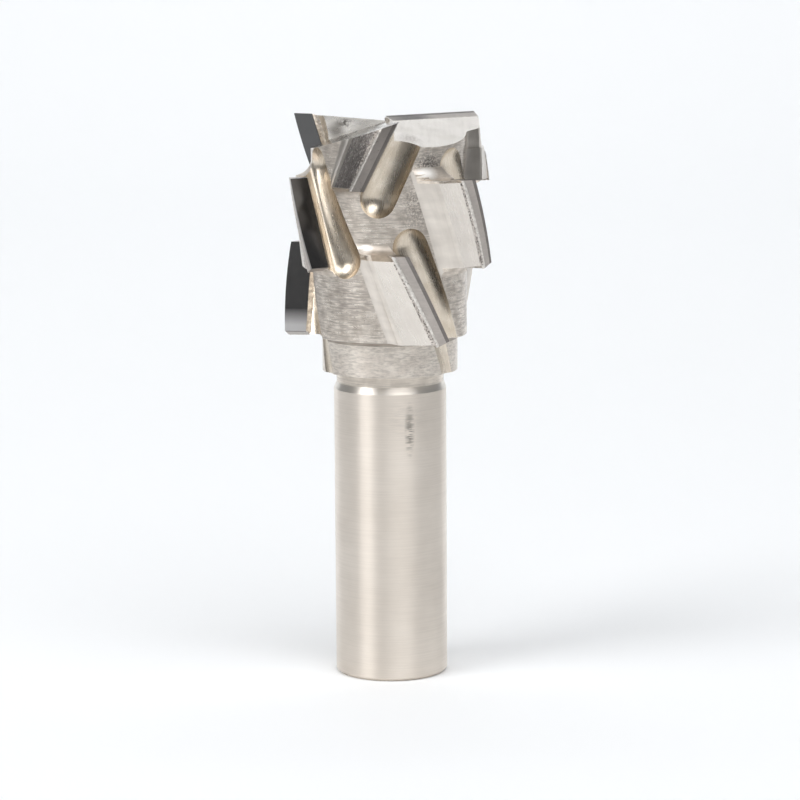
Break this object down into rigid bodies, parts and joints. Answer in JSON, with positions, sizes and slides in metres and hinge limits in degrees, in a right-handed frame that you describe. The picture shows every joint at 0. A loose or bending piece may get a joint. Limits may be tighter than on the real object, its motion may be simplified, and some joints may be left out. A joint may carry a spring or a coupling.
{
  "type": "router bit",
  "caption": "Straight round shank and stepped head with staggered rows of leaning cutting tips on milled teeth, gullets between, and an end plate across the centre.",
  "frame": {"origin": "centre of the flat end of the shank, the foot the tool stands on", "axes": "+Z along the tool's axis from the shank to the cutting end; -Y towards the viewer of the picture, +X to the viewer's right; cutting turns from -Y towards +X"},
  "size_m": [0.0455, 0.0464, 0.1245],
  "materials": {
    "steel": "nickel-bright, ground and milled",
    "tips": "dark diamond layer on grey carbide"
  },
  "bodies": {
    "root": {"body": "steel", "tip_lower_1": "tips", "tip_lower_2": "tips", "tip_lower_3": "tips", "tip_middle_1": "tips", "tip_middle_2": "tips", "tip_middle_3": "tips", "tip_upper_1": "tips", "tip_upper_2": "tips", "tip_upper_3": "tips", "tip_end": "tips"}
  },
  "joints": []
}
